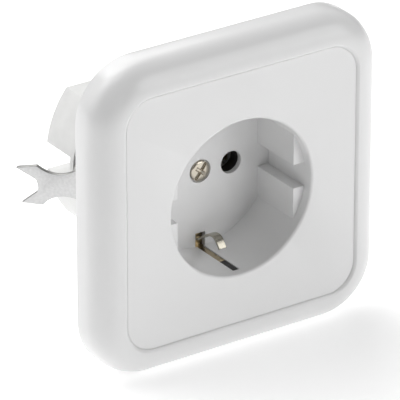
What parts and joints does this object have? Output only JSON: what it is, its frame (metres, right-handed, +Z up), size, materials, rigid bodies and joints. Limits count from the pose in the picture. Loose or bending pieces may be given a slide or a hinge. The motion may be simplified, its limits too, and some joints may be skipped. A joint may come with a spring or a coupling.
{
  "type": "earthed wall socket outlet",
  "caption": "Flush-mounted earthed two-pin wall socket outlet with a square rounded cover, round recess, side earth springs and spreading claws for a wall box.",
  "frame": {"origin": "centre of the plate in the plane of the wall, midway between the two fixing slots on the support ring's back face", "axes": "+Z is up, +X is to the right seen from the room, the front faces -Y and +Y runs into the wall"},
  "size_m": [0.086, 0.0495, 0.086],
  "materials": {
    "cover_white": "smooth, slightly glossy moulded plastic",
    "housing_white": "matt moulded thermoset",
    "carrier_black": "matt black thermoset",
    "zinc_steel": "zinc-plated sheet and turned steel",
    "plated_screw": "nickel-plated steel",
    "plated_spring": "nickel-plated spring bronze",
    "contact_brass": "bright brass sheet and bar"
  },
  "bodies": {
    "socket_body": {"cover_frame": "cover_white", "centre_plate": "cover_white", "cover_screw": "plated_screw", "cover_screw_nut": "zinc_steel", "support_ring": "zinc_steel", "contact_carrier": "carrier_black", "rear_housing": "housing_white", "carrier_screws": "zinc_steel", "live_contact_left": "contact_brass", "live_contact_right": "contact_brass", "live_terminal_left": "contact_brass", "live_terminal_right": "contact_brass", "live_terminal_screw_left": "plated_screw", "live_terminal_screw_right": "plated_screw", "earth_strap": "contact_brass", "earth_terminal": "contact_brass", "earth_terminal_screw": "plated_screw"},
    "earth_spring_upper": {"earth_spring_upper": "plated_spring"},
    "earth_spring_lower": {"earth_spring_lower": "plated_spring"},
    "claw_screw_left": {"claw_screw_left": "zinc_steel"},
    "claw_nut_left": {"claw_nut_left": "zinc_steel"},
    "claw_left": {"claw_left": "zinc_steel"},
    "claw_screw_right": {"claw_screw_right": "zinc_steel"},
    "claw_nut_right": {"claw_nut_right": "zinc_steel"},
    "claw_right": {"claw_right": "zinc_steel"}
  },
  "joints": [
    {"name": "claw_nut_left_slide", "type": "slide", "parent": "socket_body", "child": "claw_nut_left", "axis": [0, 1, 0], "range_m": [-0.00042, 0.0012]},
    {"name": "claw_screw_left_turn", "type": "hinge", "parent": "socket_body", "child": "claw_screw_left", "pos_m": [-0.0259, 0, 0], "axis": [0, 1, 0], "range_deg": [-864.1, 306.1]},
    {"name": "claw_left_swing", "type": "hinge", "parent": "claw_nut_left", "child": "claw_left", "pos_m": [-0.0259, 0.0201, 0], "axis": [-0.1478, 0, 0.989], "range_deg": [-42.1, 14.95]},
    {"name": "claw_nut_right_slide", "type": "slide", "parent": "socket_body", "child": "claw_nut_right", "axis": [0, 1, 0], "range_m": [-0.00042, 0.0012]},
    {"name": "claw_screw_right_turn", "type": "hinge", "parent": "socket_body", "child": "claw_screw_right", "pos_m": [0.0259, 0, 0], "axis": [0, 1, 0], "range_deg": [-864.1, 306.1]},
    {"name": "claw_right_swing", "type": "hinge", "parent": "claw_nut_right", "child": "claw_right", "pos_m": [0.0259, 0.0201, 0], "axis": [0.1478, 0, -0.989], "range_deg": [-42.1, 14.95]},
    {"name": "earth_spring_upper_flex", "type": "hinge", "parent": "socket_body", "child": "earth_spring_upper", "pos_m": [0, 0.0097, 0.0192], "axis": [-1, 0, 0], "range_deg": [0, 9], "stiffness_Nm_per_rad": 0.38},
    {"name": "earth_spring_lower_flex", "type": "hinge", "parent": "socket_body", "child": "earth_spring_lower", "pos_m": [0, 0.0097, -0.0192], "axis": [1, 0, 0], "range_deg": [0, 9], "stiffness_Nm_per_rad": 0.38}
  ],
  "couplings": [
    {"joint": "claw_screw_left_turn", "follows": "claw_nut_left_slide", "rad_per_m": -12566},
    {"joint": "claw_left_swing", "follows": "claw_nut_left_slide", "rad_per_m": -611.9},
    {"joint": "claw_screw_right_turn", "follows": "claw_nut_right_slide", "rad_per_m": -12566},
    {"joint": "claw_right_swing", "follows": "claw_nut_right_slide", "rad_per_m": -611.9}
  ]
}
